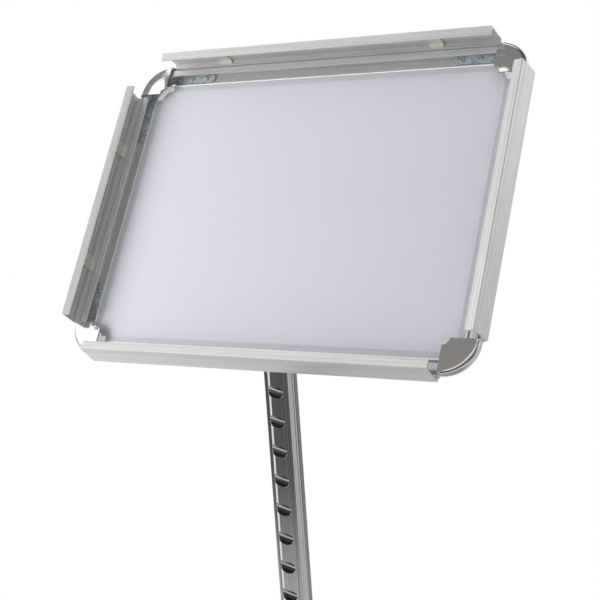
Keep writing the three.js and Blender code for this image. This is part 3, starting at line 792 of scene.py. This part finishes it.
# ======== Post ========
def post_outline():
    """A round bulge in front, flanges beside it, a fine groove and a slot down each side."""
    width = POST_HALF_WIDTH
    depth = POST_HALF_DEPTH
    edge = BULGE_HALF_WIDTH
    groove = width - FINE_GROOVE_DEPTH
    groove_start, groove_end = FINE_GROOVE
    slot = width - SIDE_SLOT_DEPTH
    slot_start, slot_end = SIDE_SLOT
    right = [
        (edge, BULGE_RISE - depth, 0.25),
        (edge + 0.2, GUTTER_FLOOR, 0.2), (edge + 0.9, GUTTER_FLOOR, 0.2),
        (edge + 1.1, FLANGE_FRONT, 0.2), (width, FLANGE_FRONT, FLANGE_ROUND),
        (width, groove_start, 0.3), (groove, groove_start + 0.3, 0.2),
        (groove, groove_end - 0.3, 0.2), (width, groove_end, 0.3),
        (width, slot_start, 0.4), (slot, slot_start, 0.3), (slot, slot_end, 0.3), (width, slot_end, 0.3),
        (width, depth, 0.4),
        (BACK_GROOVE_HALF_WIDTH, depth, 0.4), (BACK_GROOVE_HALF_WIDTH - 0.4, depth - BACK_GROOVE_DEPTH, 0.3),
    ]
    left = [(-x, y, ease) for x, y, ease in reversed(right)]
    radius = bulge_radius()
    reach = math.asin(edge / radius)
    steps = 48
    bulge = []
    for step in range(1, steps):
        angle = reach * (2 * step / steps - 1)
        bulge.append((radius * math.sin(angle), radius - depth - radius * math.cos(angle), 0))
    return rounded([*bulge, *right, *left])


def build_post():
    """The hollow post, with slanting round cutters taken out of the front of its bulge."""
    low, high = (corner.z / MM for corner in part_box("post"))
    blank = raised(post_outline(), low, high)
    core = bar(-CORE_HALF_WIDTH, CORE_FRONT, low - 5, CORE_HALF_WIDTH, CORE_BACK, high + 5)
    hollow = subtract(blank, core)
    cutters = bmesh.new()
    radius = NOTCH_RADIUS * MM
    width = 2 * (BULGE_HALF_WIDTH + 0.05) * MM
    height = TOP_NOTCH
    while height > LOWEST_NOTCH:
        centre = Vector((0, NOTCH_DEPTH - POST_HALF_DEPTH - NOTCH_RADIUS, height)) * MM
        lie = Matrix.Translation(centre) @ Matrix.Rotation(math.pi / 2 + NOTCH_SLANT, 4, "Y")
        bmesh.ops.create_cone(cutters, cap_ends=True, segments=120, radius1=radius, radius2=radius,
                              depth=width, matrix=lie)
        height -= NOTCH_PITCH
    post = subtract(hollow, cutters)
    data = finish_mesh("post", post, 22)
    place("post_fine", data, Matrix.Identity(4), "stand", POLISHED, "polished_post", ["post"])


# ======== Base ========
def foot_profile(radius, height):
    """A foot with a ring groove in its sole and an eased lower edge."""
    inner, outer, depth = FOOT_GROOVE
    profile = [(AXIS, 0), (radius - inner, 0), (radius - inner + 0.4, depth)]
    profile += [(radius - outer - 0.4, depth), (radius - outer, 0)]
    profile += curve((radius - 1.2, 0), (radius, 0), (radius, 1.4), 6)
    profile += [(radius, height - 0.2), (radius - 0.2, height), (AXIS, height)]
    return profile


def build_base():
    """The round-cornered plate and its four feet, to the CAD sizes."""
    low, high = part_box("base_plate")
    half = (high.x - low.x) / 2 / MM
    corners = ((-half, -half), (half, -half), (half, half), (-half, half))
    outline = rounded([(x, y, BASE_CORNER) for x, y in corners], 24)
    data = finish_mesh("base_plate", raised(outline, low.z / MM, high.z / MM))
    upright = Matrix.Identity(4)
    plate = place("base_plate_fine", data, upright, "stand", POWDER, "painted_steel", ["base_plate"])
    eased(plate, 1.2, 4)
    for index in range(4):
        node = f"base_foot_{index}"
        low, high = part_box(node)
        middle = (low + high) / 2
        profile = foot_profile((high.x - low.x) / 2 / MM, (high.z - low.z) / MM)
        foot = finish_mesh(node, turned(profile, 48))
        matrix = Matrix.Translation((middle.x, middle.y, low.z))
        place(f"{node}_fine", foot, matrix, "stand", RUBBER, "rubber", [node])


# ======== Knob ========
def knob_stations(length):
    """(along, radius, height of the lobes) from the hub to the dished outer face."""
    start = length - KNOB_GRIP_LENGTH
    turns = [math.pi / 2 * step / 6 for step in range(7)]
    stations = [(0, KNOB_HUB_RADIUS - 0.4, 0), (0.4, KNOB_HUB_RADIUS, 0), (start - 0.4, KNOB_HUB_RADIUS, 0)]
    for turn in turns:
        along = KNOB_EASE * (1 - math.cos(turn))
        inward = KNOB_EASE * (1 - math.sin(turn))
        stations.append((start + along, KNOB_GRIP_RADIUS - inward, KNOB_LOBE))
    for turn in turns:
        along = KNOB_EASE * (1 - math.sin(turn))
        inward = KNOB_EASE * (1 - math.cos(turn))
        stations.append((length - along, KNOB_GRIP_RADIUS - inward, KNOB_LOBE))
    floor = length - KNOB_DISH_DEPTH
    stations += [(length - 0.6, KNOB_DISH_RADIUS + 0.8, 0.8), (floor, KNOB_DISH_RADIUS, 0.4), (floor, 1, 0)]
    return stations


def build_knob():
    """A lobed grip with rounded ends on a short hub, along +X."""
    low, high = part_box("tilt_knob")
    pivot = Vector(joints["knob_turn"]["pos_m"])
    segments = 120
    rings = []
    for along, radius, lobe in knob_stations((high.x - low.x) / MM):
        ring = []
        for segment in range(segments):
            angle = 2 * math.pi * segment / segments
            reach = radius + lobe * math.cos(KNOB_LOBES * angle)
            ring.append((along, reach * math.cos(angle), reach * math.sin(angle)))
        rings.append(ring)
    knob = finish_mesh("tilt_knob", lofted(rings), 40)
    matrix = Matrix.Translation((low.x, pivot.y, pivot.z))
    place("tilt_knob_fine", knob, matrix, "tilt_knob", BLACK, "black_plastic", ["tilt_knob"])


# ======== Plain CAD shapes with eased edges ========
def eased_copy(node, body, material, slot, width, segments=2):
    """The CAD solid with its flat faces cleaned up and its sharp edges rounded."""
    mesh = bmesh.new()
    mesh.from_mesh(frame["nodes"][node].data)
    bmesh.ops.remove_doubles(mesh, verts=mesh.verts, dist=1e-6)
    bmesh.ops.dissolve_limit(mesh, angle_limit=math.radians(1), verts=mesh.verts, edges=mesh.edges)
    piece = place(f"{node}_fine", finish_mesh(node, mesh), Matrix.Identity(4), body, material, slot, [node])
    eased(piece, width, segments)


def build_fittings():
    """The socket, its bolt and plug, the tilting head, and the channel behind the frame."""
    aluminium = (ANODISED_UPRIGHT, "anodised_aluminium")
    steel = (ZINC, "zinc_plated_steel")
    eased_copy("base_socket", "stand", *aluminium, 0.5, 3)
    eased_copy("base_bolt", "stand", *steel, 0.3)
    eased_copy("post_plug", "stand", *aluminium, 0.3)
    eased_copy("head_fork", "stand", *aluminium, 0.4, 3)
    eased_copy("pivot_bolt", "stand", *steel, 0.3)
    eased_copy("tilt_tongue", "sign", *aluminium, 0.4, 3)
    eased_copy("back_rail", "sign", *aluminium, 0.3)
    for index in range(4):
        eased_copy(f"back_screw_{index}", "sign", *steel, 0.2)


# ======== Studio ========
def make_camera():
    """The camera at the photograph's viewing angle."""
    forward = Vector((math.sin(CAMERA_YAW) * math.cos(CAMERA_PITCH),
                      math.cos(CAMERA_YAW) * math.cos(CAMERA_PITCH), math.sin(CAMERA_PITCH)))
    level_right = Vector((math.cos(CAMERA_YAW), -math.sin(CAMERA_YAW), 0))
    level_up = level_right.cross(forward)
    right = math.cos(CAMERA_ROLL) * level_right + math.sin(CAMERA_ROLL) * level_up
    up = right.cross(forward)
    data = bpy.data.cameras.new("camera")
    data.lens = LENS
    camera = bpy.data.objects.new("camera", data)
    rotation = Matrix((right, up, -forward)).transposed().to_4x4()
    camera.matrix_world = Matrix.Translation(CENTRE + CAMERA_FROM_SIGN) @ rotation
    scene.collection.objects.link(camera)
    scene.camera = camera


def beyond(nodes, direction, normal, offset=0.0, softness=0.012):
    """1 further than the offset along the normal, 0 short of it."""
    reach = nodes.add("ShaderNodeVectorMath", {0: direction, 1: Vector(normal).normalized()},
                      operation="DOT_PRODUCT").outputs[1]
    return nodes.between(reach, offset - softness, offset + softness, 0, 1)


def reflected_studio(nodes, direction):
    """Dark flags, a bright panel with two straight edges, and a white backdrop that is dark overhead."""
    x, y, z = nodes.add("ShaderNodeSeparateXYZ", {0: direction}).outputs
    ramp = nodes.add("ShaderNodeValToRGB", {0: z})
    elements = ramp.color_ramp.elements
    while len(elements) < len(FRONT_TONES):
        elements.new(0.5)
    for element, (position, value) in zip(elements, FRONT_TONES):
        element.position = position
        element.color = grey(value, 0.03)
    front = nodes.between(y, -0.15, 0.1, 1, 0)
    backdrop = nodes.between(z, 0.80, 0.90, 1.0, DARK_OVERHEAD)
    room = nodes.mix(front, backdrop, ramp.outputs[0])
    beside = nodes.math("MULTIPLY", nodes.between(x, 0.70, 0.85, 0, 1), nodes.between(z, 0.05, 0.2, 0, 1))
    room = nodes.mix(beside, room, grey(DARK_BESIDE))
    left_of_right_edge = beyond(nodes, direction, PANEL_RIGHT_EDGE)
    right_of_slant = beyond(nodes, direction, PANEL_SLANT, 0.0045, 0.001)
    below_top = nodes.between(z, 0.67, 0.69, 1, 0)
    above_foot = nodes.between(z, 0.20, 0.24, 0, 1)
    panel = nodes.math("MAXIMUM", below_top, right_of_slant)
    for limit in (left_of_right_edge, above_foot, front):
        panel = nodes.math("MULTIPLY", panel, limit)
    return nodes.mix(panel, room, grey(PANEL_BRIGHTNESS))


def make_world():
    """White to the camera, even soft light on every surface, and a studio in the reflections."""
    world = bpy.data.worlds.new("studio")
    scene.world = world
    world.use_nodes = True
    nodes = Nodes(world.node_tree)
    direction = nodes.add("ShaderNodeTexCoord").outputs["Generated"]
    seen = reflected_studio(nodes, direction)
    path = nodes.add("ShaderNodeLightPath")
    plain = nodes.math("SUBTRACT", 1.0, path.outputs["Is Glossy Ray"])
    soft = nodes.mix(path.outputs["Is Camera Ray"], grey(AMBIENT), grey(1.0))
    colour = nodes.mix(plain, seen, soft)
    background = nodes.add("ShaderNodeBackground", {"Color": colour, "Strength": 1.0})
    nodes.add("ShaderNodeOutputWorld", {"Surface": background.outputs[0]})


def reflected_floor(nodes, x, y, distance):
    """How bright the floor is in reflections: darker further off in front, and far off at the left."""
    rise = nodes.between(distance, 0.7, 1.0, 0.5, 1.0)
    ahead = nodes.math("MULTIPLY", rise, nodes.between(distance, 1.1, 2.6, 0.58, 0.10))
    behind = nodes.between(x, -0.4, 0.4, 1.0, 0.5)
    behind = nodes.math("MULTIPLY", behind, nodes.between(distance, 0.5, 1.2, 0.45, 1))
    leftward = nodes.math("MAXIMUM", nodes.math("SUBTRACT", -1.0, x), 0.0)
    depth = nodes.math("ADD", y, nodes.math("MULTIPLY", leftward, 0.6))
    front = nodes.between(depth, 0.02, 0.16, 1, 0)
    back = nodes.math("SUBTRACT", 1.0, front)
    tone = nodes.math("ADD", nodes.math("MULTIPLY", ahead, front), nodes.math("MULTIPLY", behind, back))
    far_left = nodes.math("MULTIPLY", nodes.between(x, -1.6, -1.0, 1, 0), nodes.between(y, 0.6, 1.4, 0, 1))
    return nodes.math("MULTIPLY", tone, nodes.between(far_left, 0, 1, 1, 0.12))


def floor_material():
    """Pale and matt near the object, fading to plain white; reflections see tones of their own."""
    material = bpy.data.materials.new("floor")
    material.use_nodes = True
    nodes = Nodes(material.node_tree)
    position = nodes.add("ShaderNodeNewGeometry").outputs["Position"]
    x, y, _ = nodes.add("ShaderNodeSeparateXYZ", {0: position}).outputs
    distance = nodes.add("ShaderNodeVectorMath", {0: position}, operation="LENGTH").outputs["Value"]
    tone = reflected_floor(nodes, x, y, distance)
    reflected = nodes.add("ShaderNodeEmission", {"Color": grey(1.0), "Strength": tone})
    grain = nodes.add("ShaderNodeTexNoise", {"Vector": position, "Scale": 3.0})
    pale = nodes.mix(grain.outputs["Fac"], grey(0.95), grey(0.97))
    near = nodes.add("ShaderNodeBsdfDiffuse", {"Color": pale})
    far = nodes.add("ShaderNodeEmission", {"Color": grey(1.0), "Strength": 1.0})
    fade = nodes.between(distance, 0.2, 1.2, 0.3, 1)
    plain = nodes.add("ShaderNodeMixShader", {0: fade, 1: near.outputs[0], 2: far.outputs[0]})
    glossy = nodes.add("ShaderNodeLightPath").outputs["Is Glossy Ray"]
    both = nodes.add("ShaderNodeMixShader", {0: glossy, 1: plain.outputs[0], 2: reflected.outputs[0]})
    nodes.add("ShaderNodeOutputMaterial", {"Surface": both.outputs[0]})
    return material


def make_floor():
    """A wide floor, which is no part of the object."""
    mesh = bmesh.new()
    bmesh.ops.create_grid(mesh, x_segments=8, y_segments=8, size=FLOOR_HALF_SIZE)
    data = bpy.data.meshes.new("floor")
    mesh.to_mesh(data)
    mesh.free()
    data.materials.append(floor_material())
    floor = bpy.data.objects.new("floor", data)
    scene.collection.objects.link(floor)


def make_light(name, place_m, size, power, aim):
    """A soft round light that reflections don't show."""
    data = bpy.data.lights.new(name, "AREA")
    data.shape = "DISK"
    data.size = size
    data.energy = power
    light = bpy.data.objects.new(name, data)
    light.location = place_m
    light.rotation_euler = (Vector(aim) - Vector(place_m)).to_track_quat("-Z", "Y").to_euler()
    light.visible_glossy = False
    scene.collection.objects.link(light)


make_camera()
make_world()
make_floor()
for light_name, settings in LIGHTS.items():
    make_light(light_name, *settings)
for side_name in SIDE_TURNS:
    build_side(side_name)
build_corners()
build_panel()
build_post()
build_base()
build_knob()
build_fittings()
scene.view_settings.view_transform = "Standard"
